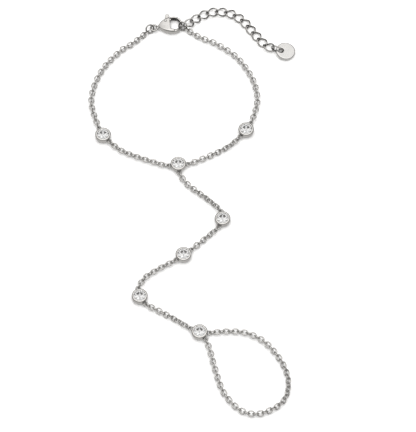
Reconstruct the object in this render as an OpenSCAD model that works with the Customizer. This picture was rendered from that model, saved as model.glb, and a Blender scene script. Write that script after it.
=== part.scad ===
// Hand chain bracelet laid flat: a wrist loop and a finger loop of cable chain
// joined through seven round bezel stations, with a lobster clasp and an extender.
// Millimetres. X runs to the right, Y from the finger loop to the clasp, Z up.
// The origin is the centre of the underside of the middle wrist bezel.

/* [Build] */
// Piece to draw, or all of them

/* [Bezel stations] */
// Outer diameter of a bezel cup
bezel_d = 5; // [4.4:0.1:7]
// Height of a bezel cup
bezel_h = 2.2; // [1.9:0.1:3]
// Width of the metal rim that shows round each stone
bezel_rim = 0.6; // [0.4:0.05:1]
// Rounding of the lower edge of a cup
bezel_edge = 0.45; // [0.2:0.05:0.7]
// Rounding of the rim's outer edge
rim_edge = 0.35; // [0.1:0.05:0.5]
// Wire of the eyelets soldered to the cups
eye_wire = 0.4; // [0.3:0.05:0.6]
// Inner diameter of an eyelet
eye_hole = 0.9; // [0.8:0.05:1.4]

/* [Stones] */
// Girdle diameter of a stone
stone_d = 4; // [3:0.1:6]
// Table width as a share of the girdle diameter
table_share = 0.58; // [0.5:0.01:0.68]
// Crown height above the girdle
crown_h = 0.5; // [0.3:0.05:0.8]
// Pavilion depth below the girdle
pavilion_h = 1.6; // [1.3:0.05:2]
// Thickness of the girdle
girdle_h = 0.1; // [0.06:0.01:0.2]

/* [Cable chain] */
// Outer length of a cable link
cable_l = 2.4; // [2:0.05:4]
// Outer width of a cable link
cable_w = 2.05; // [1.6:0.05:3]
// Wire of a cable link
cable_wire = 0.42; // [0.3:0.02:0.6]

/* [Extender chain] */
// Outer length of a curb link
curb_l = 4.33; // [3.4:0.05:5]
// Outer width of a curb link
curb_w = 3.3; // [2.6:0.05:4]
// Wire of a curb link
curb_wire = 0.5; // [0.34:0.02:0.6]
// Play of each lying curb link along the chain
curb_play = 0.1; // [0:0.05:0.4]
// Height of the lying extender's middle line
curb_z = 0.82; // [0.7:0.05:1.2]

/* [Clasp] */
// Radius of the clasp's round end
clasp_r = 3; // [2.8:0.05:3.2]
// Greatest thickness of the clasp
clasp_t = 2.2; // [1.8:0.1:2.6]
// Width of the hook at the spine
hook_w = 1; // [0.8:0.05:1.1]
// Width of the hook at the lever, and of the lever's bar
lever_w = 0.7; // [0.65:0.05:1]
// Height of the hook at the spine and at the lever
hook_h = 1.8; // [1.2:0.1:2]
// Width and height of the hook where the jump ring hangs
hook_slim = 0.7; // [0.65:0.05:0.85]
// Inner diameter of the eye at the tail
tail_hole = 1.5; // [1.2:0.05:1.8]
// Wire of the eye at the tail
tail_wire = 0.65; // [0.45:0.05:0.7]
// Diameter of the lever's pin
pin_d = 0.56; // [0.4:0.04:0.8]
// Turn of the lying clasp about the vertical
clasp_turn = 6; // [0:1:15]
// Swing of the lever into the clasp
lever_swing = 0; // [0:1:24]

/* [Rings and tag] */
// Outer diameter of the two jump rings at the clasp
jump_d = 3.2; // [3.1:0.05:3.4]
// Wire of the two jump rings at the clasp
jump_wire = 0.48; // [0.4:0.05:0.55]
// Outer length of the link at the tag
tag_link_l = 4.3; // [4:0.1:5]
// Outer width of the link at the tag
tag_link_w = 3.1; // [2.8:0.1:3.6]
// Diameter of the tag
tag_d = 6.3; // [5:0.1:8]
// Thickness of the tag
tag_t = 1; // [0.8:0.05:1.1]
// Diameter of the tag's hole
tag_hole = 1.8; // [1.6:0.05:2]
// Metal left between the tag's hole and its rim
tag_wall = 0.8; // [0.6:0.05:1]

/* [Fits] */
// Clear gap between interlocked wires
gap = 0.1; // [0.1:0.01:0.2]
// Clear gap between a stone and its cup
seat_gap = 0.04; // [0.02:0.01:0.08]
// Clear gap beside the lever and round its pin
lever_gap = 0.08; // [0.05:0.01:0.12]

/* [Hidden] */

steel = [0.78, 0.77, 0.75];
crystal = [0.86, 0.92, 0.95];

$fn = 48;
eps = 0.01;

// Places of the seven bezels, and the headings of each bezel's eyelets
col_x = 0;
col_y = 1;
stations = [
  [-24.4, 11.0], [21.9, 13.0], [0, 0], [14.2, -20.3], [1.8, -33.4], [-12.0, -48.5], [6.9, -61.3]
];
eyelet_angles = [
  [116, 314], [60, 230], [187, 5, 276], [98, 246], [40, 216], [101, 305], [153, 358, 309]
];

// Chosen points of each chain's lying middle line, between its two ends
wrist_left_points = [[-14.7, 46.8], [-18.9, 43.7], [-23.8, 38.1], [-26.6, 32.8], [-28.1, 27.5],
  [-28.2, 22.0]];
wrist_front_left_points = [[-17.9, 5.1], [-8.7, 1.3]];
wrist_front_right_points = [[8.5, 2.6], [15.8, 6.6]];
wrist_right_points = [[25.3, 21.9], [25.5, 26.9], [23.7, 33.6], [19.0, 41.0], [12.2, 46.3],
  [7.1, 48.7]];
hand_1_points = [[3.1, -7.4], [9.5, -12.9]];
hand_2_points = [[8.9, -27.1]];
hand_3_points = [[-5.8, -38.2], [-10.4, -41.6]];
hand_4_points = [[-5.3, -53.9], [-0.8, -56.6]];
finger_points = [[14.8, -60.9], [20.7, -61.2], [26.0, -63.6], [29.9, -67.5], [33.2, -73.0],
  [34.6, -78.4], [33.9, -83.7], [30.8, -87.5], [25.0, -89.9], [19.5, -88.5], [14.4, -82.4],
  [11.7, -74.0], [10.2, -67.8]];
extender_points = [[5.8, 56.2], [10.9, 58.7], [16.5, 58.3], [21.1, 55.3], [24.9, 50.2],
  [28.6, 45.8]];

// Bezel
bezel_r = bezel_d / 2;
bore_r = stone_d / 2 + seat_gap;
lip_r = bezel_r - bezel_rim;
back_hole_r = 0.33 * stone_d;
eye_r = (eye_hole + eye_wire) / 2;
eye_sink = 0.15;
eye_reach = bezel_r + eye_r - eye_sink;
chain_z = bezel_h / 2;

// Stone, standing on its culet inside the cup
culet_z = 0.15;
girdle_z = culet_z + pavilion_h;
stone_r = stone_d / 2;
table_r = table_share * stone_r;
crown_slope = crown_h / (stone_r - table_r);
pavilion_slope = pavilion_h / stone_r;

// Clasp: the round end's centre, the outline's large arcs and the domed faces
clasp_at = [-1.75, 53.5];
clasp_z = clasp_t / 2;
outline_r = 6;
outline_shift = outline_r - clasp_r;
clasp_edge = 0.6;
dome_r = 14;
dome_u = -1.2;
cheek_u = -1.15;
hook_inset = 0.03;
hook_out_r = clasp_r - hook_inset;
hook_mid_r = hook_out_r - hook_slim / 2;
opening_r = hook_out_r - 0.95 * hook_w;
hook_from = -140;
hook_to = 76;
hook_apex = -10;
hook_flare = 75;
hook_sides = 16;
hook_round = 0.85;
hook_boxed = 0.35;
bar_from = 44;
bar_to = 108;
slot_t = 0.8;
tongue_t = slot_t - 2 * lever_gap;
slot_from = clasp_r * [-1.3, -0.233];
slot_to = clasp_r * [-0.1, 1.433];
seam_from = [0, clasp_r / 6];
pivot = clasp_r * [-0.85, 0.5];
pivot_boss = 0.24 * clasp_r;
lever_root = clasp_r * [-0.117, 0.733];
lever_brow = clasp_r * [-0.167, 0.9];
seam_r = 1.28 * clasp_r;
nub_u = -0.6 * clasp_r;
nub_w = 0.483 * clasp_r;
nub_low = 0.633 * clasp_r;
nub_top = 1.467 * clasp_r;
neck_wire = 1.4 * tail_wire;
neck_l = 1;
neck_v = -0.1 * clasp_r;
tail_r = (tail_hole + tail_wire) / 2;
outline_tip = sqrt(outline_r * outline_r - outline_shift * outline_shift);
tail_u = -outline_tip - 0.4 * tail_wire - tail_r;
tail_v = neck_v - 0.1;
pin_recess = 0.02;
through = 2 * clasp_t;

// Jump rings at the clasp: the turn of each about its long line, and its place
floor_gap = 0.02;
jump_r = (jump_d - jump_wire) / 2;
tail_at = clasp_at + turned([tail_u, tail_v], clasp_turn);
tail_slack = 0.12;
ring_a_az = 30;
ring_a_tilt = 50;
ring_a_z = jump_r * sin(ring_a_tilt) + jump_wire / 2 + floor_gap;
ring_a_hold = -asin((ring_a_z - clasp_z) / (jump_r * sin(ring_a_tilt)));
ring_a_hook = ring_vector(ring_a_az, ring_a_tilt, ring_a_hold);
ring_a_at = [tail_at[0], tail_at[1], clasp_z] - (jump_r + tail_slack) * ring_a_hook;
ring_c_az = -27;
ring_c_tilt = 47;
ring_c_way = -9.5;
ring_c_z = jump_r * sin(ring_c_tilt) + jump_wire / 2 + floor_gap;
ring_c_reach = hook_mid_r + 0.455;
ring_c_at = [clasp_at[0], clasp_at[1], ring_c_z] + ring_c_reach * heading(ring_c_way);

// Tag: its link lifts the holed side, and the far rim rests on the ground
tag_at = [35.0, 43.4];
tag_az = 178;
tag_hole_u = tag_d / 2 - tag_wall - tag_hole / 2;
tag_lift = 0.77;
tag_lean = asin(tag_lift / tag_d);
tag_mid_z = tag_d / 2 * sin(tag_lean) + tag_t / 2;
tag_link_z = 1.58;
tag_link_roll = 86;
tag_link_reach = 0.42;
tag_link_from = 171;
tag_link_az = 158;

// Chain spacing: the longest pitch that keeps the wires clear
cable_pitch = cable_l - 2 * cable_wire - gap;
curb_pitch = curb_l - 2 * curb_wire - gap - curb_play;
path_steps = 8;
curb_twist = 45;
curb_around = 16;
curb_sides = 6;

function heading(a) = [cos(a), sin(a), 0];
function turned(p, a) = [p[0] * cos(a) - p[1] * sin(a), p[0] * sin(a) + p[1] * cos(a)];
function lifted(p, z) = [p[0], p[1], z];

// Direction from a tilted ring's centre to its wire, at an angle within the ring
function ring_vector(az, tilt, at) =
  cos(at) * heading(az) + sin(at) * (cos(tilt) * heading(az + 90) + [0, 0, sin(tilt)]);

// An end of a chain: the held wire's middle, the chain's heading there, the wire and its roll
end_at = 0;
end_heading = 1;
end_wire = 2;
end_roll = 3;

function eyelet_end(i, k) =
  let (a = eyelet_angles[i - 1][k])
  [[stations[i - 1][col_x], stations[i - 1][col_y], chain_z] + (eye_reach + eye_r) * heading(a),
    a, eye_wire, 0];

function ring_end(centre, az, tilt, r, wire, at, a) =
  let (t = ring_vector(az, tilt, at + 90))
  [centre + r * ring_vector(az, tilt, at), a, wire, atan2(t[2], t * heading(a + 90))];

// Where each chain hangs on its jump ring, and the way it leaves
cable_a_angle = 205;
cable_a_leave_angle = 232;
cable_c_angle = -24;
cable_c_leave_angle = -49;
curb_c_angle = 36;
curb_c_leave_angle = 40;
clasp_jump_end = ring_end(ring_a_at, ring_a_az, ring_a_tilt, jump_r, jump_wire,
  cable_a_angle, cable_a_leave_angle);
end_jump_cable = ring_end(ring_c_at, ring_c_az, ring_c_tilt, jump_r, jump_wire,
  cable_c_angle, cable_c_leave_angle);
end_jump_curb = ring_end(ring_c_at, ring_c_az, ring_c_tilt, jump_r, jump_wire,
  curb_c_angle, curb_c_leave_angle);

// The tag's link reaches from the tag's hole out over the rim, and the chain ends in it
tag_link_at = [tag_at[0], tag_at[1], tag_link_z]
  + (tag_hole_u + tag_hole / 2 + tag_link_reach) * heading(tag_link_from);
tag_link_end = [tag_link_at + (tag_link_l - curb_wire) / 2 * heading(tag_link_az), tag_link_az, curb_wire, 0];

// Where the chain's path begins, so that its first link just clears the held wire
function path_end(e, l, wire) = e[end_at] - (l / 2 - wire + e[end_wire] / 2) * heading(e[end_heading]);

function between(a, b, c, d, t) =
  (2 * b + (c - a) * t + (2 * a - 5 * b + 4 * c - d) * t * t + (3 * b - a - 3 * c + d) * t * t * t) / 2;

function smooth(p) = [
  for (i = [1:len(p) - 3]) for (k = [0:path_steps - 1])
    between(p[i - 1], p[i], p[i + 1], p[i + 2], k / path_steps),
  p[len(p) - 2]
];

function path_of(a, b, mids, z, l, wire) =
  let (first = path_end(a, l, wire))
  let (last = path_end(b, l, wire))
  let (inner = [for (m = mids) lifted(m, z)])
  let (lead = norm(inner[0] - first))
  let (tail = norm(inner[len(inner) - 1] - last))
  smooth(concat([first - lead * heading(a[end_heading]), first], inner,
    [last, last - tail * heading(b[end_heading])]));

function run_of(p) = [for (i = 0, s = 0; i < len(p); i = i + 1, s = s + (i < len(p) ? norm(p[i] - p[i - 1]) : 0)) s];

function point_at(p, run, s) =
  let (i = max([for (k = [0:len(run) - 2]) if (run[k] <= s) k]))
  p[i] + (p[i + 1] - p[i]) * (s - run[i]) / (run[i + 1] - run[i]);

// Angle brought into the half turn that a flat link repeats in
function half_turn(a) = a - 180 * round(a / 180);

module place_links(a, b, mids, z, l, wire, pitch, roll_step) {
  path = path_of(a, b, mids, z, l, wire);
  run = run_of(path);
  whole = run[len(run) - 1];
  count = ceil(whole / pitch) - 1;
  step = whole / (count + 1);
  rest = half_turn(-b[end_roll] - a[end_roll] - roll_step * (count + 1));
  turn = roll_step > 0 ? roll_step + rest / (count + 1) : 0;
  for (i = [1:count]) {
    here = point_at(path, run, i * step);
    way = point_at(path, run, min((i + 0.5) * step, whole)) - point_at(path, run, (i - 0.5) * step);
    pitch_up = asin(way[2] / norm(way));
    translate(here)
      rotate([0, -pitch_up, atan2(way[1], way[0])])
        rotate([roll_step > 0 ? a[end_roll] + i * turn : 0, 0, 0])
          children();
  }
}

// An oval link of round wire, lying along X
module oval_link(l, w, wire) {
  bend_r = (w - wire) / 2;
  straight = l - w;
  for (side = [0, 180]) {
    rotate([0, 0, side]) {
      translate([straight / 2, 0, 0])
        rotate([0, 0, -90])
          rotate_extrude(angle = 180)
            translate([bend_r, 0])
              circle(d = wire);
      translate([-straight / 2, bend_r, 0])
        rotate([0, 90, 0])
          cylinder(d = wire, h = straight);
    }
  }
}

// A curb link: an oval of wire whose two ends are turned opposite ways
function curb_point(t) =
  let (a = (curb_l - curb_wire) / 2)
  let (b = (curb_w - curb_wire) / 2)
  let (roll = curb_twist * cos(t))
  [a * cos(t), b * sin(t) * cos(roll), b * sin(t) * sin(roll)];

function unit(v) = v / norm(v);

function curb_ring(k) =
  let (t = 360 * k / curb_around)
  let (p = curb_point(t))
  let (along = unit(curb_point(t + 2) - curb_point(t - 2)))
  let (out = unit(p - (p * along) * along))
  let (up = cross(along, out))
  [for (j = [0:curb_sides - 1])
    p + curb_wire / 2 * (cos(360 * j / curb_sides) * out + sin(360 * j / curb_sides) * up)];

function corner(k, j) = (k % curb_around) * curb_sides + j % curb_sides;

module curb_link() {
  points = [for (k = [0:curb_around - 1]) each curb_ring(k)];
  faces = [for (k = [0:curb_around - 1]) for (j = [0:curb_sides - 1]) each [
    [corner(k, j), corner(k + 1, j + 1), corner(k, j + 1)],
    [corner(k, j), corner(k + 1, j), corner(k + 1, j + 1)]
  ]];
  polyhedron(points = points, faces = faces);
}

module cable_chain(a, b, mids) {
  color(steel)
    place_links(a, b, mids, chain_z, cable_l, cable_wire, cable_pitch, 90)
      oval_link(cable_l, cable_w, cable_wire);
}

module wrist_chain_left() {
  cable_chain(clasp_jump_end, eyelet_end(1, 0), wrist_left_points);
}

module wrist_chain_front_left() {
  cable_chain(eyelet_end(1, 1), eyelet_end(3, 0), wrist_front_left_points);
}

module wrist_chain_front_right() {
  cable_chain(eyelet_end(3, 1), eyelet_end(2, 1), wrist_front_right_points);
}

module wrist_chain_right() {
  cable_chain(eyelet_end(2, 0), end_jump_cable, wrist_right_points);
}

module hand_chain_1() {
  cable_chain(eyelet_end(3, 2), eyelet_end(4, 0), hand_1_points);
}

module hand_chain_2() {
  cable_chain(eyelet_end(4, 1), eyelet_end(5, 0), hand_2_points);
}

module hand_chain_3() {
  cable_chain(eyelet_end(5, 1), eyelet_end(6, 0), hand_3_points);
}

module hand_chain_4() {
  cable_chain(eyelet_end(6, 1), eyelet_end(7, 0), hand_4_points);
}

module finger_chain() {
  cable_chain(eyelet_end(7, 1), eyelet_end(7, 2), finger_points);
}

module extender_chain() {
  color(steel)
    place_links(end_jump_curb, tag_link_end, extender_points, curb_z, curb_l, curb_wire, curb_pitch, 0)
      curb_link();
}

module wire_ring(r, wire) {
  rotate_extrude()
    translate([r, 0])
      circle(d = wire);
}

// Half of the cup's section, from the back hole out to the two rounded edges
module bezel_section() {
  difference() {
    union() {
      square([bezel_r - bezel_edge, bezel_edge]);
      translate([bezel_r - bezel_edge, bezel_edge])
        circle(r = bezel_edge);
      translate([0, bezel_edge])
        square([bezel_r, bezel_h - bezel_edge - rim_edge]);
      translate([0, bezel_h - rim_edge])
        square([bezel_r - rim_edge, rim_edge]);
      translate([bezel_r - rim_edge, bezel_h - rim_edge])
        circle(r = rim_edge, $fn = 32);
    }
    seat_drop = seat_gap * sqrt(1 + pavilion_slope * pavilion_slope);
    seat_low = culet_z + back_hole_r * pavilion_slope - seat_drop;
    seat_high = culet_z + bore_r * pavilion_slope - seat_drop;
    lip_low = girdle_z + girdle_h + seat_gap;
    lip_high = lip_low + (bore_r - lip_r) * crown_slope;
    polygon([
      [-eps, -eps], [back_hole_r, -eps], [back_hole_r, seat_low], [bore_r, seat_high],
      [bore_r, lip_low], [lip_r, lip_high], [lip_r, bezel_h + 1], [-eps, bezel_h + 1]
    ]);
  }
}

module bezel(i) {
  color(steel)
    translate([stations[i - 1][col_x], stations[i - 1][col_y], 0]) {
      rotate_extrude()
        bezel_section();
      for (a = eyelet_angles[i - 1])
        translate(eye_reach * heading(a) + [0, 0, chain_z])
          wire_ring(eye_r, eye_wire);
    }
}

// A round brilliant: eight-sided table, stars, kites and girdle facets over a fluted pavilion
function rim_point(r, a, z) = [r * cos(a), r * sin(a), z];

module brilliant() {
  star_r = table_r + 0.42 * (stone_r - table_r);
  star_z = girdle_z + girdle_h + 0.66 * crown_h;
  lower_r = 0.3 * stone_r;
  lower_z = culet_z + 0.26 * pavilion_h;
  table = [for (k = [0:7]) rim_point(table_r, 45 * k, girdle_z + girdle_h + crown_h)];
  star = [for (k = [0:7]) rim_point(star_r, 45 * k + 22.5, star_z)];
  upper = [for (k = [0:15]) rim_point(stone_r, 22.5 * k, girdle_z + girdle_h)];
  under = [for (k = [0:15]) rim_point(stone_r, 22.5 * k, girdle_z)];
  lower = [for (k = [0:7]) rim_point(lower_r, 45 * k + 22.5, lower_z)];
  points = concat(table, star, upper, under, lower, [[0, 0, culet_z]]);
  n_star = 8;
  n_upper = 16;
  n_under = 32;
  n_lower = 48;
  n_culet = 56;
  faces = concat(
    [[7, 6, 5, 4, 3, 2, 1, 0]],
    [for (k = [0:7]) [k, (k + 1) % 8, n_star + k]],
    [for (k = [0:7]) [k, n_star + k, n_upper + 2 * k]],
    [for (k = [0:7]) [k, n_upper + 2 * k, n_star + (k + 7) % 8]],
    [for (k = [0:7]) [n_star + k, n_upper + 2 * k + 1, n_upper + 2 * k]],
    [for (k = [0:7]) [n_star + k, n_upper + (2 * k + 2) % 16, n_upper + 2 * k + 1]],
    [for (k = [0:15]) [n_upper + k, n_upper + (k + 1) % 16, n_under + (k + 1) % 16, n_under + k]],
    [for (k = [0:7]) [n_under + 2 * k, n_under + 2 * k + 1, n_lower + k]],
    [for (k = [0:7]) [n_under + 2 * k + 1, n_under + (2 * k + 2) % 16, n_lower + k]],
    [for (k = [0:7]) [n_under + 2 * k, n_lower + k, n_culet]],
    [for (k = [0:7]) [n_under + 2 * k, n_culet, n_lower + (k + 7) % 8]]
  );
  polyhedron(points = points, faces = faces);
}

module stone(i) {
  color(crystal)
    translate([stations[i - 1][col_x], stations[i - 1][col_y], 0])
      brilliant();
}

// A block that cuts right through the clasp, between two corners
module cut_block(from, to) {
  translate([from[0], from[1], -through / 2])
    cube([to[0] - from[0], to[1] - from[1], through]);
}

module clasp_place() {
  translate([clasp_at[0], clasp_at[1], clasp_z])
    rotate([0, 0, clasp_turn])
      children();
}

module rounded_disc(r, t, edge) {
  rotate_extrude($fn = 72) {
    translate([0, -t / 2])
      square([r - edge, t]);
    translate([0, edge - t / 2])
      square([r, t - 2 * edge]);
    translate([r - edge, t / 2 - edge])
      circle(r = edge, $fn = 16);
    translate([r - edge, edge - t / 2])
      circle(r = edge, $fn = 16);
  }
}

// The hook's section at an angle round the opening: slim where the jump ring hangs
function hook_share(a) = (1 - cos(180 * min(1, abs(a - hook_apex) / hook_flare))) / 2;

function eased(c, a) = sign(c) * pow(abs(c), hook_round - hook_boxed * hook_share(a));

function hook_section(a) =
  let (w = hook_slim + ((a > hook_apex ? lever_w : hook_w) - hook_slim) * hook_share(a))
  let (h = hook_slim + (hook_h - hook_slim) * hook_share(a))
  [for (j = [0:hook_sides - 1])
    let (t = 360 * j / hook_sides)
    (hook_out_r - w / 2 + w / 2 * eased(cos(t), a)) * heading(a) + [0, 0, h / 2 * eased(sin(t), a)]];

function hook_corner(k, j) = k * hook_sides + j % hook_sides;

module hook_sweep(from, to, steps) {
  points = [for (k = [0:steps]) each hook_section(from + (to - from) * k / steps)];
  faces = concat(
    [[for (j = [0:hook_sides - 1]) hook_sides - 1 - j]],
    [for (k = [0:steps - 1]) for (j = [0:hook_sides - 1]) each [
      [hook_corner(k, j), hook_corner(k, j + 1), hook_corner(k + 1, j + 1)],
      [hook_corner(k, j), hook_corner(k + 1, j + 1), hook_corner(k + 1, j)]
    ]],
    [[for (j = [0:hook_sides - 1]) hook_corner(steps, j)]]
  );
  polyhedron(points = points, faces = faces);
}

// Hollow cheeks and spine: two large arcs meet at the neck, under domed faces
module clasp_shell() {
  intersection() {
    translate([0, -outline_shift, 0])
      rounded_disc(outline_r, clasp_t, clasp_edge);
    translate([0, outline_shift, 0])
      rounded_disc(outline_r, clasp_t, clasp_edge);
    translate([dome_u, 0, clasp_t / 2 - dome_r])
      rotate([90, 0, 0])
        cylinder(r = dome_r, h = 2 * outline_r, center = true, $fn = 96);
    translate([dome_u, 0, dome_r - clasp_t / 2])
      rotate([90, 0, 0])
        cylinder(r = dome_r, h = 2 * outline_r, center = true, $fn = 96);
    cut_block([-2 * outline_r, -outline_r], [0, outline_r]);
  }
}

module clasp_body() {
  color(steel)
    clasp_place()
      difference() {
        union() {
          difference() {
            clasp_shell();
            intersection() {
              union() {
                cylinder(r = opening_r, h = through, center = true);
                cut_block([-outline_r, 0], [clasp_r, outline_r]);
              }
              cut_block([cheek_u, -outline_r], [clasp_r, outline_r]);
            }
          }
          hook_sweep(hook_from, hook_to, 27);
          translate([tail_u, tail_v, 0])
            wire_ring(tail_r, tail_wire);
          translate([tail_u + tail_r, neck_v, 0])
            rotate([0, 90, 0])
              cylinder(d = neck_wire, h = neck_l, $fn = 20);
        }
        translate(lifted(slot_from, -slot_t / 2))
          cube(lifted(slot_to - slot_from, slot_t));
        translate(pivot)
          cylinder(d = pin_d + 2 * lever_gap, h = through, center = true);
        intersection() {
          translate(pivot)
            cylinder(r = seam_r + gap, h = through, center = true);
          cut_block(seam_from, [2 * clasp_r, outline_r]);
        }
      }
}

module clasp_lever() {
  color(steel)
    clasp_place()
      translate(pivot)
        rotate([0, 0, -lever_swing])
          translate(-pivot)
            difference() {
              union() {
                intersection() {
                  hook_sweep(bar_from, bar_to, 9);
                  translate(pivot)
                    cylinder(r = seam_r, h = through, center = true);
                }
                translate([0, 0, -tongue_t / 2])
                  linear_extrude(height = tongue_t) {
                    translate(pivot)
                      circle(r = pivot_boss);
                    polygon([
                      lever_root, lever_brow, pivot + [0, pivot_boss], pivot - [0, pivot_boss]
                    ]);
                    translate([nub_u - nub_w / 2, nub_low])
                      square([nub_w, nub_top - nub_w / 2 - nub_low]);
                    translate([nub_u, nub_top - nub_w / 2])
                      circle(d = nub_w);
                  }
              }
              translate(pivot)
                cylinder(d = pin_d + 2 * lever_gap, h = through, center = true);
            }
}

module clasp_pin() {
  color(steel)
    clasp_place()
      translate(pivot)
        cylinder(d = pin_d, h = clasp_t - 2 * pin_recess, center = true);
}

module clasp_jump_ring() {
  color(steel)
    translate(ring_a_at)
      rotate([0, 0, ring_a_az])
        rotate([ring_a_tilt, 0, 0])
          wire_ring(jump_r, jump_wire);
}

module end_jump_ring() {
  color(steel)
    translate(ring_c_at)
      rotate([0, 0, ring_c_az])
        rotate([ring_c_tilt, 0, 0])
          wire_ring(jump_r, jump_wire);
}

module tag_link() {
  color(steel)
    translate(tag_link_at)
      rotate([0, 0, tag_link_az - 180])
        rotate([tag_link_roll, 0, 0])
          oval_link(tag_link_l, tag_link_w, curb_wire);
}

module tag() {
  color(steel)
    translate([tag_at[0], tag_at[1], tag_mid_z])
      rotate([0, 0, tag_az])
        rotate([0, -tag_lean, 0])
          difference() {
            rounded_disc(tag_d / 2, tag_t, tag_t / 4);
            translate([tag_hole_u, 0, 0])
              cylinder(d = tag_hole, h = 2 * tag_t, center = true);
          }
}

wrist_chain_left();
wrist_chain_front_left();
wrist_chain_front_right();
wrist_chain_right();
hand_chain_1();
hand_chain_2();
hand_chain_3();
hand_chain_4();
finger_chain();
bezel(1);  // bezel_1
bezel(2);  // bezel_2
bezel(3);  // bezel_3
bezel(4);  // bezel_4
bezel(5);  // bezel_5
bezel(6);  // bezel_6
bezel(7);  // bezel_7
stone(1);  // stone_1
stone(2);  // stone_2
stone(3);  // stone_3
stone(4);  // stone_4
stone(5);  // stone_5
stone(6);  // stone_6
stone(7);  // stone_7
clasp_body();
clasp_lever();
clasp_pin();
clasp_jump_ring();
end_jump_ring();
extender_chain();
tag_link();
tag();
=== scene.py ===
# %% [markdown]
# # A hand chain bracelet, dressed for its portrait
#
# A hand chain has a wrist loop and a finger loop of fine cable chain. Seven
# round cups with clear stones join their parts, a lobster clasp closes the
# wrist loop, and a short curb chain with a plain tag lets the wearer choose
# its length. The construction model gives every piece its size and place. This
# lesson gives the pieces round wire, soft edges, polish, glitter, a floor and
# light.
#
# First the imported model comes in as a fixed frame.

# %% Load the frame
import math

import bmesh
import bpy
import numpy as np
from mathutils import Matrix, Vector
from mathutils.bvhtree import BVHTree


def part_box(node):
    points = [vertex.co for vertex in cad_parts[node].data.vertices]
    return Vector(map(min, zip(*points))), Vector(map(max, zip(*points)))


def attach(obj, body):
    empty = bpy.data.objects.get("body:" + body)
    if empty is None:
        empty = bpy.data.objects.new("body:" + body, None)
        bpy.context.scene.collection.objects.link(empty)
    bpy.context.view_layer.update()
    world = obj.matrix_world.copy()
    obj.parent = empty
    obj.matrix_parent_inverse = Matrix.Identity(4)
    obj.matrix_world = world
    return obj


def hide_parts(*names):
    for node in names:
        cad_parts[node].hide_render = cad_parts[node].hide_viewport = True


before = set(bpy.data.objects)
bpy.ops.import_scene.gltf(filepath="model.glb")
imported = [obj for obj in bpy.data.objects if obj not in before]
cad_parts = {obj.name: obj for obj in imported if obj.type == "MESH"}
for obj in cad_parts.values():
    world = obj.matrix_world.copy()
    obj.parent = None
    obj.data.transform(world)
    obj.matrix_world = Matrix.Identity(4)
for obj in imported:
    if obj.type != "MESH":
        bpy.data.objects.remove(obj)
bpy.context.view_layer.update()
MM = 0.001

# %% [markdown]
# Node trees are easier to read when adding a node takes one line. Three small
# helpers are enough: one adds a node and sets its options, one feeds a socket
# with a number or with another socket, and one writes a sum as a Math node.

# %% Helpers for node trees
def add_node(tree, kind, **options):
    made = tree.nodes.new(kind)
    for name, value in options.items():
        setattr(made, name, value)
    return made


def feed(tree, socket, value):
    if isinstance(value, bpy.types.NodeSocket):
        tree.links.new(value, socket)
    else:
        socket.default_value = value


def maths(tree, operation, *values):
    made = add_node(tree, "ShaderNodeMath", operation=operation)
    for socket, value in zip(made.inputs, values):
        feed(tree, socket, value)
    return made.outputs[0]


print("helpers:", ", ".join(helper.__name__ for helper in (add_node, feed, maths)))

# %% [markdown]
# Polished steel is nearly a mirror, so its look comes mostly from what stands
# round it. A perfect mirror looks false, though. Real polish has a faint haze
# that changes from place to place, and hairline marks of the polishing wheel.
# One function makes all the steels: a noise with broad spots varies the tone,
# and a fine one varies the roughness and, through a bump, the surface. Both
# noises keep to the middle of their range, so the values are spread from there.

# %% Noise for the finishes
NOISE_LOW, NOISE_HIGH = 0.3, 0.7


def noise(tree, place, scale, detail):
    made = add_node(tree, "ShaderNodeTexNoise")
    feed(tree, made.inputs["Vector"], place)
    feed(tree, made.inputs["Scale"], scale)
    feed(tree, made.inputs["Detail"], detail)
    return made.outputs["Fac"]


def spread(tree, value, low, high, start=NOISE_LOW, end=NOISE_HIGH):
    made = add_node(tree, "ShaderNodeMapRange")
    ends = {"From Min": start, "From Max": end, "To Min": low, "To Max": high}
    for name, number in ends.items():
        feed(tree, made.inputs[name], number)
    feed(tree, made.inputs["Value"], value)
    return made.outputs["Result"]


def two_tones(tree, value, dark, light):
    made = add_node(tree, "ShaderNodeValToRGB")
    stops = made.color_ramp.elements
    stops[0].position, stops[1].position = NOISE_LOW, NOISE_HIGH
    stops[0].color, stops[1].color = (*dark, 1), (*light, 1)
    feed(tree, made.inputs["Fac"], value)
    return made.outputs["Color"]


print("noise is spread from", NOISE_LOW, "to", NOISE_HIGH)

# %% [markdown]
# The narrow places, where links cross and wires are soldered, get painted shade:
# their tone is made darker, as if shade fell there. A later cell measures how
# open each point lies and keeps that on the mesh; the material multiplies its
# tone by it. A texture painted by hand could hold the same shade, but it would
# need an unwrapped mesh for every link. Each group of pieces has a steel of its
# own, because the fine chain is polished brighter than the heavier links.

# %% Steel
CLOUD_SCALE = 420
CLOUD_DETAIL = 3
HAZE_SCALE = 5200
HAZE_DETAIL = 5
BUMP_STRENGTH = 0.3
OPENNESS = "open_air"
NARROW, WIDE = 0.42, 0.78


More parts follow.
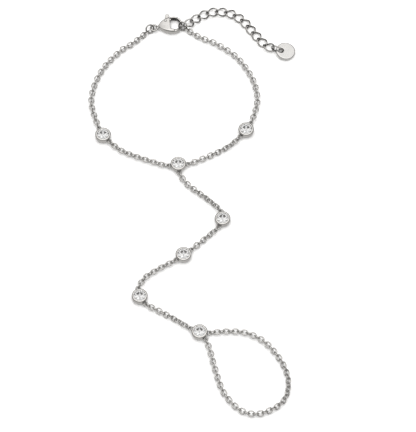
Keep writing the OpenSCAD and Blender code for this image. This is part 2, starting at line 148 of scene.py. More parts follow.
def steel(name, dark, light, smooth, hazy, grain, darkest_painted_shade, stretch=(1, 1, 1)):
    material = bpy.data.materials.new(name)
    material.use_nodes = True
    tree = material.node_tree
    shader = tree.nodes["Principled BSDF"]
    shader.inputs["Metallic"].default_value = 1.0
    place = add_node(tree, "ShaderNodeTexCoord").outputs["Object"]
    pulled = add_node(tree, "ShaderNodeMapping")
    pulled.inputs["Scale"].default_value = stretch
    feed(tree, pulled.inputs["Vector"], place)
    haze = noise(tree, pulled.outputs["Vector"], HAZE_SCALE, HAZE_DETAIL)
    tone = two_tones(tree, noise(tree, place, CLOUD_SCALE, CLOUD_DETAIL), dark, light)
    # Painted shade: the tone is multiplied by how open each point lies, so it is darker where
    # a point is shut in.
    openness = add_node(tree, "ShaderNodeAttribute", attribute_name=OPENNESS).outputs["Fac"]
    tone_with_painted_shade = add_node(tree, "ShaderNodeVectorMath", operation="SCALE")
    feed(tree, tone_with_painted_shade.inputs[0], tone)
    feed(tree, tone_with_painted_shade.inputs["Scale"], spread(tree, openness, darkest_painted_shade, 1.0, NARROW, WIDE))
    feed(tree, shader.inputs["Base Color"], tone_with_painted_shade.outputs["Vector"])
    feed(tree, shader.inputs["Roughness"], spread(tree, haze, smooth, hazy))
    bump = add_node(tree, "ShaderNodeBump")
    bump.inputs["Strength"].default_value = BUMP_STRENGTH
    bump.inputs["Distance"].default_value = grain
    feed(tree, bump.inputs["Height"], haze)
    feed(tree, shader.inputs["Normal"], bump.outputs["Normal"])
    return material


# For each steel, the number after the grain sets how dark its painted shade goes at the most
# shut-in points.
CHAIN_STEEL = steel("polished_chain", dark=(0.88, 0.87, 0.85), light=(0.96, 0.95, 0.935),
                    smooth=0.1, hazy=0.2, grain=0.004 * MM, darkest_painted_shade=0.6)
LINK_STEEL = steel("polished_links", dark=(0.64, 0.63, 0.615), light=(0.76, 0.75, 0.735),
                   smooth=0.1, hazy=0.18, grain=0.004 * MM, darkest_painted_shade=0.02)
CUP_STEEL = steel("polished_cup", dark=(0.80, 0.79, 0.77), light=(0.89, 0.88, 0.865),
                  smooth=0.08, hazy=0.17, grain=0.003 * MM, darkest_painted_shade=0.2)
CAST_STEEL = steel("polished_casting", dark=(0.76, 0.75, 0.73), light=(0.88, 0.87, 0.855),
                   smooth=0.07, hazy=0.15, grain=0.004 * MM, darkest_painted_shade=0.02)
TAG_STEEL = steel("brushed_tag", dark=(0.92, 0.915, 0.905), light=(0.97, 0.965, 0.955),
                  smooth=0.16, hazy=0.26, grain=0.004 * MM, darkest_painted_shade=0.1,
                  stretch=(0.12, 1, 1))
STEELS = (CHAIN_STEEL, LINK_STEEL, CUP_STEEL, CAST_STEEL, TAG_STEEL)
print("steels:", [metal.name for metal in STEELS])

# %% [markdown]
# The stones are cut cubic zirconia. Light bends hard as it enters, bounces off
# the facets below the girdle and leaves through the top, which gives the mix
# of white and dark facets. A glass shader with the stone's real index of
# refraction, about 2.16, does all of that by itself. A very weak noise in the
# tint and the roughness stands for dust and for the marks of polishing.

# %% Crystal
STONE_INDEX = 2.16
STONE_HAZE = 0.015
DUST_SCALE = 900
DUST_DETAIL = 4


def crystal():
    material = bpy.data.materials.new("cut_crystal")
    material.use_nodes = True
    tree = material.node_tree
    shader = tree.nodes["Principled BSDF"]
    shader.inputs["IOR"].default_value = STONE_INDEX
    shader.inputs["Transmission Weight"].default_value = 1.0
    place = add_node(tree, "ShaderNodeTexCoord").outputs["Object"]
    dust = noise(tree, place, DUST_SCALE, DUST_DETAIL)
    feed(tree, shader.inputs["Base Color"],
         two_tones(tree, dust, (0.95, 0.965, 0.975), (1, 1, 1)))
    feed(tree, shader.inputs["Roughness"], spread(tree, dust, 0.0, STONE_HAZE))
    return material


CRYSTAL = crystal()
for number in range(1, 8):
    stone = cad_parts[f"stone_{number}"]
    stone.data.materials.clear()
    stone.data.materials.append(CRYSTAL)
print("stones keep their cut facets, with index", STONE_INDEX)

# %% [markdown]
# Every chain is one shape of wire, repeated. In the construction model each
# link is a loose solid, so the model itself says where each link lies. The
# next helpers merge a copy of a node's corners, walk over the edges to split
# them into loose parts, and find each part's own axes: its corners spread most
# along the link, less across it, and least through it.

# %% Find the links in a node
WELD = 0.001 * MM


def loose_parts(node):
    work = bmesh.new()
    work.from_mesh(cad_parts[node].data)
    bmesh.ops.remove_doubles(work, verts=work.verts, dist=WELD)
    parts = []
    seen = set()
    for start in work.verts:
        if start in seen:
            continue
        seen.add(start)
        found, wave = [], [start]
        while wave:
            vert = wave.pop()
            found.append(tuple(vert.co))
            for edge in vert.link_edges:
                other = edge.other_vert(vert)
                if other not in seen:
                    seen.add(other)
                    wave.append(other)
        parts.append(np.array(found))
    work.free()
    return parts


def own_axes(corners):
    middle = corners.mean(axis=0)
    _, axes = np.linalg.eigh(np.cov((corners - middle).T))
    long, broad = axes[:, 2], axes[:, 1]
    turn = np.column_stack((long, broad, np.cross(long, broad)))
    inside = (corners - middle) @ turn
    low, high = inside.min(axis=0), inside.max(axis=0)
    return middle + turn @ ((low + high) / 2), turn, high - low


def link_places(node):
    return [own_axes(part) for part in loose_parts(node)]


print("the extender has", len(loose_parts("extender_chain")), "loose links")

# %% [markdown]
# Geometry Nodes then make all the links at once. The tree bends a circle into
# the link's middle line, sweeps a small circle along it as the wire, and sets
# one copy on each place. A cable link is an oval with two straight sides. A
# curb link is an ellipse whose two ends are turned opposite ways, so the same
# tree has an input for the twist and one for the straight sides, and a jump
# ring is only a link as long as it is wide. An array or a particle system
# would also repeat a link, but neither takes a turn of its own for each copy.

# %% The link tree
LINK_INPUTS = (
    ("Length", "NodeSocketFloat"),
    ("Width", "NodeSocketFloat"),
    ("Wire", "NodeSocketFloat"),
    ("Twist", "NodeSocketFloat"),
    ("Straight sides", "NodeSocketFloat"),
    ("Steps round", "NodeSocketInt"),
    ("Wire sides", "NodeSocketInt"),
    ("Finish", "NodeSocketMaterial"),
)


def middle_line(tree, size):
    circle = add_node(tree, "GeometryNodeCurvePrimitiveCircle")
    circle.inputs["Radius"].default_value = 1.0
    feed(tree, circle.inputs["Resolution"], size["Steps round"])
    half_step = maths(tree, "DIVIDE", math.pi, size["Steps round"])
    spin = add_node(tree, "ShaderNodeCombineXYZ")
    feed(tree, spin.inputs["Z"], half_step)
    turned = add_node(tree, "GeometryNodeTransform")
    feed(tree, turned.inputs["Geometry"], circle.outputs["Curve"])
    feed(tree, turned.inputs["Rotation"], spin.outputs["Vector"])
    split = add_node(tree, "ShaderNodeSeparateXYZ")
    position = add_node(tree, "GeometryNodeInputPosition").outputs["Position"]
    feed(tree, split.inputs["Vector"], position)
    across, along = split.outputs["Y"], split.outputs["X"]
    reach = maths(tree, "MULTIPLY", maths(tree, "SUBTRACT", size["Length"], size["Wire"]), 0.5)
    bend = maths(tree, "MULTIPLY", maths(tree, "SUBTRACT", size["Width"], size["Wire"]), 0.5)
    side = maths(tree, "MULTIPLY", maths(tree, "SUBTRACT", size["Length"], size["Width"]), 0.5)
    ellipse_x = maths(tree, "MULTIPLY", along, reach)
    oval_x = maths(tree, "MULTIPLY_ADD", maths(tree, "SIGN", along), side,
                   maths(tree, "MULTIPLY", along, bend))
    x = maths(tree, "MULTIPLY_ADD", maths(tree, "SUBTRACT", oval_x, ellipse_x),
              size["Straight sides"], ellipse_x)
    half_width = maths(tree, "MULTIPLY", across, bend)
    roll = maths(tree, "MULTIPLY", along, size["Twist"])
    point = add_node(tree, "ShaderNodeCombineXYZ")
    feed(tree, point.inputs["X"], x)
    for axis, share in (("Y", "COSINE"), ("Z", "SINE")):
        part = maths(tree, share, roll)
        feed(tree, point.inputs[axis], maths(tree, "MULTIPLY", half_width, part))
    line = add_node(tree, "GeometryNodeSetPosition")
    feed(tree, line.inputs["Geometry"], turned.outputs["Geometry"])
    feed(tree, line.inputs["Position"], point.outputs["Vector"])
    return line.outputs["Geometry"]


def link_tree():
    tree = bpy.data.node_groups.new("wire_links", "GeometryNodeTree")
    tree.interface.new_socket("Places", in_out="INPUT", socket_type="NodeSocketGeometry")
    for name, kind in LINK_INPUTS:
        tree.interface.new_socket(name, in_out="INPUT", socket_type=kind)
    tree.interface.new_socket("Links", in_out="OUTPUT", socket_type="NodeSocketGeometry")
    size = add_node(tree, "NodeGroupInput").outputs
    wire = add_node(tree, "GeometryNodeCurvePrimitiveCircle")
    feed(tree, wire.inputs["Resolution"], size["Wire sides"])
    feed(tree, wire.inputs["Radius"], maths(tree, "MULTIPLY", size["Wire"], 0.5))
    sweep = add_node(tree, "GeometryNodeCurveToMesh")
    feed(tree, sweep.inputs["Curve"], middle_line(tree, size))
    feed(tree, sweep.inputs["Profile Curve"], wire.outputs["Curve"])
    smooth = add_node(tree, "GeometryNodeSetShadeSmooth")
    feed(tree, smooth.inputs["Geometry"], sweep.outputs["Mesh"])
    turn = add_node(tree, "GeometryNodeInputNamedAttribute", data_type="FLOAT_VECTOR")
    turn.inputs["Name"].default_value = "turn"
    as_turn = add_node(tree, "FunctionNodeEulerToRotation")
    feed(tree, as_turn.inputs["Euler"], turn.outputs["Attribute"])
    copies = add_node(tree, "GeometryNodeInstanceOnPoints")
    feed(tree, copies.inputs["Points"], size["Places"])
    feed(tree, copies.inputs["Instance"], smooth.outputs["Geometry"])
    feed(tree, copies.inputs["Rotation"], as_turn.outputs["Rotation"])
    real = add_node(tree, "GeometryNodeRealizeInstances")
    feed(tree, real.inputs["Geometry"], copies.outputs["Instances"])
    finish = add_node(tree, "GeometryNodeSetMaterial")
    feed(tree, finish.inputs["Geometry"], real.outputs["Geometry"])
    feed(tree, finish.inputs["Material"], size["Finish"])
    feed(tree, add_node(tree, "NodeGroupOutput").inputs["Links"], finish.outputs["Geometry"])
    return tree


LINK_TREE = link_tree()
SOCKET_ID = {item.name: item.identifier for item in LINK_TREE.interface.items_tree}
print("link tree:", len(LINK_TREE.nodes), "nodes")

# %% [markdown]
# A modifier runs the tree on a cloud of places, one point for each link, with
# the link's turn in an attribute. The evaluated result becomes a plain mesh,
# the modifier goes away with its cloud of points, and the new piece then
# stands for the construction node and rides on the same body.

# %% Turn places into a finished piece
def finished(piece, body, *nodes):
    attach(piece, body)
    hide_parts(*nodes)
    return piece


def new_piece(name, mesh):
    piece = bpy.data.objects.new(name, mesh)
    bpy.context.scene.collection.objects.link(piece)
    return piece


def run_of_links(node, **sizes):
    places = link_places(node)
    cloud = bpy.data.meshes.new(node + "_places")
    cloud.from_pydata([tuple(centre) for centre, _, _ in places], [], [])
    turns = cloud.attributes.new("turn", "FLOAT_VECTOR", "POINT")
    eulers = [tuple(Matrix(turn.tolist()).to_euler()) for _, turn, _ in places]
    turns.data.foreach_set("vector", np.array(eulers, np.float32).ravel())
    holder = new_piece(node + "_cloud", cloud)
    links = holder.modifiers.new("links", "NODES")
    links.node_group = LINK_TREE
    for name, value in sizes.items():
        links[SOCKET_ID[name.replace("_", " ").capitalize()]] = value
    seen = holder.evaluated_get(bpy.context.evaluated_depsgraph_get())
    mesh = bpy.data.meshes.new_from_object(seen)
    bpy.data.objects.remove(holder)
    mesh.materials.clear()
    mesh.materials.append(sizes["finish"])
    mesh.polygons.foreach_set("material_index", [0] * len(mesh.polygons))
    piece = finished(new_piece(node + "_links", mesh), "bracelet", node)
    measured = np.mean([size for _, _, size in places], axis=0) / MM
    print(f"{piece.name}: {len(places)} links, {len(mesh.polygons)} faces,",
          "in the model", np.round(measured, 2), "mm")
    return piece


# %% [markdown]
# The cable chain has small links of nearly round form, each turned a quarter
# turn from the one before it. There are more than two hundred of them and
# each is only seven pixels long in the picture, so eight sides of wire are
# plenty: smooth shading hides the corners.

# %% Cable chains
CABLE_CHAINS = (
    "wrist_chain_left", "wrist_chain_front_left",
    "wrist_chain_front_right", "wrist_chain_right",
    "hand_chain_1", "hand_chain_2", "hand_chain_3", "hand_chain_4",
    "finger_chain",
)
CABLE_LENGTH = 2.4 * MM
CABLE_WIDTH = 2.05 * MM
CABLE_WIRE = 0.42 * MM

for chain in CABLE_CHAINS:
    run_of_links(chain, length=CABLE_LENGTH, width=CABLE_WIDTH, wire=CABLE_WIRE, twist=0.0,
                 straight_sides=1.0, steps_round=20, wire_sides=8, finish=CHAIN_STEEL)

# %% [markdown]
# The extender is a curb chain. Its links are larger and open enough to take
# the hook, and they are twisted so that the chain lies flat. The two jump
# rings at the clasp and the plain link that holds the tag come from the same
# tree, with a finer mesh because they are few.

# %% Extender, jump rings and the tag's link
CURB_LENGTH = 4.33 * MM
CURB_WIDTH = 3.3 * MM
CURB_WIRE = 0.5 * MM
CURB_TWIST = math.radians(45)
RING_WIDTH = 3.2 * MM
RING_WIRE = 0.48 * MM
TAG_LINK_LENGTH = 4.3 * MM
TAG_LINK_WIDTH = 3.1 * MM

run_of_links("extender_chain", length=CURB_LENGTH, width=CURB_WIDTH, wire=CURB_WIRE,
             twist=CURB_TWIST, straight_sides=0.0, steps_round=36, wire_sides=12,
             finish=LINK_STEEL)
run_of_links("tag_link", length=TAG_LINK_LENGTH, width=TAG_LINK_WIDTH, wire=CURB_WIRE,
             twist=0.0, straight_sides=1.0, steps_round=40, wire_sides=12,
             finish=LINK_STEEL)
for ring in ("clasp_jump_ring", "end_jump_ring"):
    run_of_links(ring, length=RING_WIDTH, width=RING_WIDTH, wire=RING_WIRE, twist=0.0,
                 straight_sides=0.0, steps_round=48, wire_sides=14, finish=LINK_STEEL)

# %% [markdown]
# Each stone sits in a turned cup whose rim is pressed over the stone's edge.
# A turned part is easiest to make as a lathe makes it: draw half of its
# section, and carry it round the axis. The section here follows the
# construction model. Its lower edge is worn rounder, as in the photograph,
# where hardly any of the wall shows below the rim, and its inner edge is
# rounded too, because only a rounded edge catches the light.

# %% Section of a cup
CUP_RADIUS = 2.5 * MM
CUP_HEIGHT = 2.2 * MM
RIM_WIDTH = 0.6 * MM
LOWER_EDGE = 1.0 * MM
UPPER_EDGE = 0.35 * MM
INNER_EDGE = 0.1 * MM
STONE_RADIUS = 2.0 * MM
TABLE_SHARE = 0.58
CROWN = 0.5 * MM
PAVILION = 1.6 * MM
GIRDLE = 0.1 * MM
CULET = 0.15 * MM
SEAT_GAP = 0.04 * MM
HOLE_SHARE = 0.33


def arc(centre, radius, start, end, steps):
    angles = [math.radians(start + (end - start) * k / steps) for k in range(steps + 1)]
    return [(centre[0] + radius * math.cos(angle), centre[1] + radius * math.sin(angle))
            for angle in angles]


LOWER_STEPS, UPPER_STEPS, INNER_STEPS = 12, 5, 4


def cup_section():
    lower = (CUP_RADIUS - LOWER_EDGE, LOWER_EDGE)
    upper = (CUP_RADIUS - UPPER_EDGE, CUP_HEIGHT - UPPER_EDGE)
    steep = PAVILION / STONE_RADIUS
    drop = SEAT_GAP * math.hypot(1, steep)
    bore = STONE_RADIUS + SEAT_GAP
    hole = 2 * HOLE_SHARE * STONE_RADIUS
    lip = CUP_RADIUS - RIM_WIDTH
    lip_low = CULET + PAVILION + GIRDLE + SEAT_GAP
    lip_high = lip_low + (bore - lip) * CROWN / (STONE_RADIUS * (1 - TABLE_SHARE))
    return (
        arc(lower, LOWER_EDGE, -90, 0, LOWER_STEPS)
        + arc(upper, UPPER_EDGE, 0, 90, UPPER_STEPS)
        + arc((lip + INNER_EDGE, CUP_HEIGHT - INNER_EDGE), INNER_EDGE, 90, 180, INNER_STEPS)
        + [(lip, lip_high), (bore, lip_low), (bore, CULET + bore * steep - drop)]
        + [(hole, CULET + hole * steep - drop), (hole, 0.0)]
    )


CUP_SECTION = cup_section()
print("cup section:", len(CUP_SECTION), "corners")

# %% [markdown]
# The lathe carries the section round in small steps and closes the last step
# on the first. Small rings of wire are soldered to the cup, one for each chain
# that it holds, with a bead of solder where they meet. Each cup's middle comes
# from its stone in the frame, and only the headings of its rings are listed.

# %% Turn the cups
LATHE_STEPS = 96
EYE_WIRE = 0.4 * MM
EYE_RADIUS = 0.65 * MM
EYE_SINK = 0.15 * MM
EYE_STEPS = 36
EYE_SIDES = 12
SOLDER_RADIUS = 0.3 * MM
SOLDER_SINK = 0.02 * MM
SOLDER_SHAPE = (0.5, 1.25, 1, 1)
CUP_SHARP = math.radians(50)
EYE_HEADINGS = {
    1: (116, 314),
    2: (60, 230),
    3: (187, 5, 276),
    4: (98, 246),
    5: (40, 216),
    6: (101, 305),
    7: (153, 358, 309),
}


def swept_round(work, section, steps, place):
    """Carries a closed section round the Z axis, then moves the shell to its place."""
    rings = []
    for k in range(steps):
        turn = Matrix.Rotation(2 * math.pi * k / steps, 4, "Z")
        rings.append([work.verts.new(place @ turn @ Vector((r, 0, z))) for r, z in section])
    count = len(section)
    for k in range(steps):
        near, far = rings[k], rings[(k + 1) % steps]
        for j in range(count):
            work.faces.new((near[j], far[j], far[(j + 1) % count], near[(j + 1) % count]))


def cup_mesh(name, middle, headings):
    work = bmesh.new()
    swept_round(work, CUP_SECTION, LATHE_STEPS, Matrix.Translation(middle))
    wire = arc((EYE_RADIUS, 0), EYE_WIRE / 2, 0, 360, EYE_SIDES)[:-1]
    for heading in headings:
        way = Matrix.Translation(middle) @ Matrix.Rotation(math.radians(heading), 4, "Z")
        out = CUP_RADIUS + EYE_RADIUS - EYE_SINK
        swept_round(work, wire, EYE_STEPS, way @ Matrix.Translation((out, 0, CUP_HEIGHT / 2)))
        bead = way @ Matrix.Translation((CUP_RADIUS - SOLDER_SINK, 0, CUP_HEIGHT / 2))
        bmesh.ops.create_icosphere(work, subdivisions=3, radius=SOLDER_RADIUS,
                                   matrix=bead @ Matrix.Diagonal(SOLDER_SHAPE))
    bmesh.ops.recalc_face_normals(work, faces=work.faces)
    mesh = bpy.data.meshes.new(name)
    work.to_mesh(mesh)
    work.free()
    mesh.materials.append(CUP_STEEL)
    mesh.shade_smooth()
    mesh.set_sharp_from_angle(angle=CUP_SHARP)
    return mesh


cup_middles = []
for number, headings in EYE_HEADINGS.items():
    low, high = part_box(f"stone_{number}")
    middle = Vector(((low.x + high.x) / 2, (low.y + high.y) / 2, 0))
    cup_middles.append(middle)
    mesh = cup_mesh(f"cup_{number}", middle, headings)
    finished(new_piece(f"cup_{number}", mesh), "bracelet", f"bezel_{number}")
    print(f"cup_{number}: at {middle.x / MM:.1f}, {middle.y / MM:.1f} mm,",
          len(headings), "rings")

# %% [markdown]
# The clasp is a casting, tumbled until every edge is soft. The construction
# model has its exact form, but with crisp edges. A Bevel modifier needs clean
# loops of edges, which a cut solid hasn't. A voxel remesh doesn't: it wraps
# the form in an even skin of small quads, and rounds of smoothing then wear
# the edges down. The copy is made in millimetres, because the remesh takes no
# voxel below a tenth of a millimetre in a scene in metres.

# %% Wear the edges of the clasp
VOXEL = 0.045
CAST_WEAR = 40
WEAR_STRENGTH = 0.5


def welded_copy(node):
    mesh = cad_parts[node].data.copy()
    mesh.name = node + "_copy"
    work = bmesh.new()
    work.from_mesh(mesh)
    bmesh.ops.remove_doubles(work, verts=work.verts, dist=WELD)
    work.to_mesh(mesh)
    work.free()
    return mesh


def worn_piece(node, name, body, metal, rounds):
    mesh = welded_copy(node)
    mesh.transform(Matrix.Scale(1 / MM, 4))
    rough = new_piece(name + "_rough", mesh)
    skin = rough.modifiers.new("skin", "REMESH")
    skin.mode = "VOXEL"
    skin.voxel_size = VOXEL
    wear = rough.modifiers.new("wear", "SMOOTH")
    wear.factor = WEAR_STRENGTH
    wear.iterations = rounds
    seen = rough.evaluated_get(bpy.context.evaluated_depsgraph_get())
    made = bpy.data.meshes.new_from_object(seen)
    bpy.data.objects.remove(rough)
    made.transform(Matrix.Scale(MM, 4))
    made.materials.clear()
    made.materials.append(metal)
    made.shade_smooth()
    piece = finished(new_piece(name, made), body, node)
    print(f"{name}: {len(made.polygons)} faces")
    return piece


worn_piece("clasp_body", "clasp_casting", "bracelet", CAST_STEEL, CAST_WEAR)
worn_piece("clasp_lever", "lever_casting", "lever", CAST_STEEL, CAST_WEAR)

# %% [markdown]
# The lever turns on a pin. In a finished clasp its two ends are spread like a
# rivet and polished flush with the cheeks, so the joint hardly shows. The pin
# is turned with the same helper as the cups. Its section is a bar with two wide
# heads that fill the mouths of the hole, and its place comes from the model. The
# section starts a hair's breadth off the axis, so that no two corners meet there.

# %% Rivet of the clasp
PIN_GAP = 0.08 * MM
PIN_SINK = 0.045 * MM
HEAD_HEIGHT = 0.3 * MM
HEAD_EDGE = 0.06 * MM
NEAR_AXIS = 0.0005 * MM
RIVET_STEPS = 48
RIVET_SHARP = math.radians(35)


def rivet_mesh():
    low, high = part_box("clasp_pin")
    radius = (high.x - low.x) / 2
    head = radius + PIN_GAP
    top = (high.z - low.z) / 2 - PIN_SINK
    section = [(NEAR_AXIS, -top), (head - HEAD_EDGE, -top), (head, HEAD_HEIGHT / 4 - top),
               (head, HEAD_HEIGHT - top), (radius, HEAD_HEIGHT - top)]
    section += [(r, -z) for r, z in reversed(section)]
    work = bmesh.new()
    swept_round(work, section, RIVET_STEPS, Matrix.Translation((low + high) / 2))
    bmesh.ops.recalc_face_normals(work, faces=work.faces)
    mesh = bpy.data.meshes.new("clasp_rivet")
    work.to_mesh(mesh)
    work.free()
    mesh.materials.append(CAST_STEEL)
    mesh.shade_smooth()
    mesh.set_sharp_from_angle(angle=RIVET_SHARP)
    return mesh


finished(new_piece("clasp_rivet", rivet_mesh()), "bracelet", "clasp_pin")
print("rivet heads lie", round(PIN_SINK / MM, 3), "mm under the model's pin ends")

# %% [markdown]
# The tag is a plain disc, stamped from sheet and left bare. Its rim is round
# and its faces are very nearly flat. The model's flat faces are a fan of long
# triangles, over which a tone kept on the corners would run in streaks, so the
# tag gets the same even skin as the clasp, with less wear.

# %% Tag
TAG_WEAR = 16

worn_piece("tag", "tag_disc", "bracelet", TAG_STEEL, TAG_WEAR)

# %% [markdown]
# Now that all the metal is there, each point of it can be asked how open it
# lies. Thirty rays go out from the point, spread evenly over the side that it
# faces. Those that soon meet metal count against it, and those that meet the
# ground count a little. The answer is kept as an attribute on the mesh, and the
# steels darken their tone by it: this is painted shade, ambient occlusion baked
# into the colour. It belongs to the piece, not to the camera, so it looks the
# same from every side. An ambient occlusion node in the material would do the
# same, but it is lost when the model is exported.

# %% Measure how open each point lies
RAYS = 30
REACH = 4.5 * MM
LIFT = 0.015 * MM
GROUND_SHADE = 0.3
GOLDEN = math.pi * (3 - math.sqrt(5))


def fan():
    made = []
    for k in range(RAYS):
        height = math.sqrt(1 - (k + 0.5) / RAYS)
        out = math.sqrt(1 - height * height)
        made.append(Vector((out * math.cos(k * GOLDEN), out * math.sin(k * GOLDEN), height)))
    return made


def steel_pieces():
    return [piece for piece in bpy.context.scene.objects
            if piece.type == "MESH" and any(metal in STEELS for metal in piece.data.materials)]


def metal_around(pieces):
    corners, faces = [], []
    for piece in pieces:
        start = len(corners)
        corners.extend(vert.co.copy() for vert in piece.data.vertices)
        faces.extend([start + k for k in face.vertices] for face in piece.data.polygons)
    return BVHTree.FromPolygons(corners, faces)


def openness_at(point, normal, around, rays):
    turn = normal.to_track_quat("Z", "Y")
    shut = 0.0
    for ray in rays:
        way = turn @ ray
        hit = around.ray_cast(point, way, REACH)[3]
        metal = REACH if hit is None else hit
        ground = max(point.z, 0) / -way.z if way.z < 0 else REACH
        # Metal close by, and a little the ground below, darken the point: painted shade.
        if metal <= ground:
            shut += 1 - (metal / REACH) ** 2
        else:
            shut += GROUND_SHADE * max(0, 1 - ground / REACH)
    return 1 - shut / len(rays)


print(RAYS, "rays of", round(REACH / MM, 1), "mm for each point")

# %% [markdown]
# Three places break the rule. The walls inside the clasp's opening count as
# shut, so they get deep painted shade, a painted shadow inside the opening. The
# flat faces of the clasp count as open and get no painted shade, so no dark ring
# shows round the rivet. So do the seats under the stones, which stay bright to light them.

# %% Keep the openness on the meshes
OPENING = Vector((-1.75, 53.5, 0)) * MM
OPENING_REACH = 2.75 * MM
INWARDS = 0.5
# Painted shadow inside the clasp's opening: nearly the darkest painted shade.
PAINTED_SHADE_IN_OPENING = NARROW + 0.02
FLAT = 0.9


def casting_openness(vert, value):
    inwards = (OPENING - vert.co).xy
    facing = vert.normal.xy.dot(inwards.normalized())
    # Walls facing into the opening get the painted shadow; flat faces get no painted shade.
    if inwards.length < OPENING_REACH and facing > INWARDS:
        return min(value, PAINTED_SHADE_IN_OPENING)
    return 1.0 if vert.normal.z > FLAT else value


def cup_openness(vert, value):
    nearest = min((vert.co - middle).xy.length for middle in cup_middles)
    return 1.0 if nearest < STONE_RADIUS + SEAT_GAP + WELD else value


OWN_RULE = {CAST_STEEL: casting_openness, CUP_STEEL: cup_openness}
pieces = steel_pieces()
around = metal_around(pieces)
rays = fan()
for piece in pieces:
    found = [openness_at(vert.co + LIFT * vert.normal, vert.normal, around, rays)
             for vert in piece.data.vertices]
    rule = OWN_RULE.get(piece.data.materials[0])
    if rule:
        found = [rule(vert, value) for vert, value in zip(piece.data.vertices, found)]
    piece.data.attributes.new(OPENNESS, "FLOAT", "POINT").data.foreach_set("value", found)
    print(f"{piece.name}: {len(found)} points, openness {min(found):.2f} to {max(found):.2f}")

# %% [markdown]
# A bracelet like this is photographed on a plain white sweep. The floor is
# nearly white with the faintest grain of paper, so that the eye finds nothing
# there but the soft shadows under the chain.

# %% Floor
FLOOR_SIZE = 6.0
FLOOR_PARTS = 8
GRAIN_SCALE = 60
GRAIN_DETAIL = 3
PAPER_ROUGHNESS = 0.9
PAPER_SHINE = 0.1


def paper():
    material = bpy.data.materials.new("white_sweep")
    material.use_nodes = True
    tree = material.node_tree
    shader = tree.nodes["Principled BSDF"]
    shader.inputs["Roughness"].default_value = PAPER_ROUGHNESS
    shader.inputs["Specular IOR Level"].default_value = PAPER_SHINE
    place = add_node(tree, "ShaderNodeTexCoord").outputs["Object"]
    grain = noise(tree, place, GRAIN_SCALE, GRAIN_DETAIL)
    feed(tree, shader.inputs["Base Color"],
         two_tones(tree, grain, (0.955, 0.955, 0.955), (0.965, 0.965, 0.965)))
    return material


def floor():
    work = bmesh.new()
    bmesh.ops.create_grid(work, x_segments=FLOOR_PARTS, y_segments=FLOOR_PARTS,
                          size=FLOOR_SIZE / 2)
    mesh = bpy.data.meshes.new("floor")
    work.to_mesh(mesh)
    work.free()
    mesh.materials.append(paper())
    return new_piece("floor", mesh)


sweep = floor()
sweep.visible_glossy = False
sweep.visible_transmission = False
print("floor:", FLOOR_SIZE, "m wide, white")

# %% [markdown]
# Bright metal shows its surroundings, and a room that is white all over would
# wash it out. So the two jobs are kept apart. A wide soft lamp overhead makes
# the sweep white, and is hidden from reflections. What the metal sees is the
# sky: light overhead, and dark low down, where the flanks of the wires look,
# because a jeweller sets dark cards there. The sweep too is hidden from
# reflections and from inside the stones, and the lower sky takes its place. The
# stones get some fill, so that their facets don't go black against the cards. A
# lamp behind the bracelet sends the faint shadows towards the viewer.

# %% Sky and lamps
SKY_STOPS = (
    (0.0, 0.45),
    (0.36, 0.3),
    (0.52, 0.12),
    (0.70, 0.09),
    (0.80, 0.03),
    (0.90, 0.66),
    (0.945, 1.0),
)
SKY_TINT = (1.0, 0.985, 0.965)
SKY_STRENGTH = 1.2
STONE_FILL = 0.65


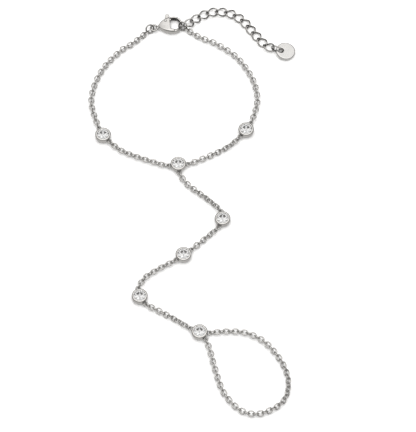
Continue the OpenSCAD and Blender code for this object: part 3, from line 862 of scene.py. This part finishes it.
def sky():
    world = bpy.data.worlds.new("studio")
    world.use_nodes = True
    tree = world.node_tree
    way = add_node(tree, "ShaderNodeTexCoord").outputs["Generated"]
    split = add_node(tree, "ShaderNodeSeparateXYZ")
    feed(tree, split.inputs["Vector"], way)
    height = maths(tree, "MULTIPLY_ADD", split.outputs["Z"], 0.5, 0.5)
    ramp = add_node(tree, "ShaderNodeValToRGB")
    stops = ramp.color_ramp.elements
    while len(stops) < len(SKY_STOPS):
        stops.new(0.5)
    for stop, (position, grey) in zip(stops, SKY_STOPS):
        stop.position = position
        stop.color = (*(grey * share for share in SKY_TINT), 1)
    feed(tree, ramp.inputs["Fac"], height)
    through_stone = add_node(tree, "ShaderNodeLightPath").outputs["Is Transmission Ray"]
    glow = maths(tree, "MULTIPLY", through_stone, STONE_FILL)
    filled = add_node(tree, "ShaderNodeVectorMath", operation="MAXIMUM")
    feed(tree, filled.inputs[0], ramp.outputs["Color"])
    feed(tree, filled.inputs[1], glow)
    background = tree.nodes["Background"]
    feed(tree, background.inputs["Color"], filled.outputs["Vector"])
    background.inputs["Strength"].default_value = SKY_STRENGTH
    bpy.context.scene.world = world


def lamp(name, place, aim, size, power):
    light = bpy.data.lights.new(name, "AREA")
    light.shape = "DISK"
    light.size = size
    light.energy = power
    holder = bpy.data.objects.new(name, light)
    holder.location = place
    holder.rotation_euler = (Vector(aim) - Vector(place)).to_track_quat("-Z", "Y").to_euler()
    holder.visible_camera = False
    bpy.context.scene.collection.objects.link(holder)
    return holder


sky()
ceiling = lamp("ceiling", place=(0, 0.1, 1.7), aim=(0, 0, 0), size=3.0, power=36)
ceiling.visible_glossy = False
ceiling.visible_transmission = False
key = lamp("key", place=(-0.2, 0.8, 0.85), aim=(0, -0.02, 0), size=0.5, power=1.2)
key.visible_glossy = False
print("sky of", len(SKY_STOPS), "stops and two lamps")

# %% [markdown]
# The photograph was taken with a long lens from well above, which keeps the
# far chain nearly as large as the near one. The camera stands 1.2 metres away,
# 60 degrees above the table, straight in front. The plain Standard view keeps
# the white of the sweep white.

# %% Camera
CAMERA_DISTANCE = 1.2
CAMERA_RISE = math.radians(60)
LOOK_AT = Vector((9.56, -18.43, 0)) * MM
LENS = 312.5
SENSOR = 36.0
NEAR, FAR = 0.01, 50.0


def camera():
    lens = bpy.data.cameras.new("portrait")
    lens.lens = LENS
    lens.sensor_width = SENSOR
    lens.clip_start, lens.clip_end = NEAR, FAR
    holder = bpy.data.objects.new("portrait", lens)
    back = Vector((0, -math.cos(CAMERA_RISE), math.sin(CAMERA_RISE)))
    holder.location = LOOK_AT + CAMERA_DISTANCE * back
    holder.rotation_euler = (math.pi / 2 - CAMERA_RISE, 0, 0)
    bpy.context.scene.collection.objects.link(holder)
    bpy.context.scene.camera = holder


camera()
bpy.context.scene.view_settings.view_transform = "Standard"
print("camera looks at", tuple(round(c / MM, 1) for c in LOOK_AT), "mm")
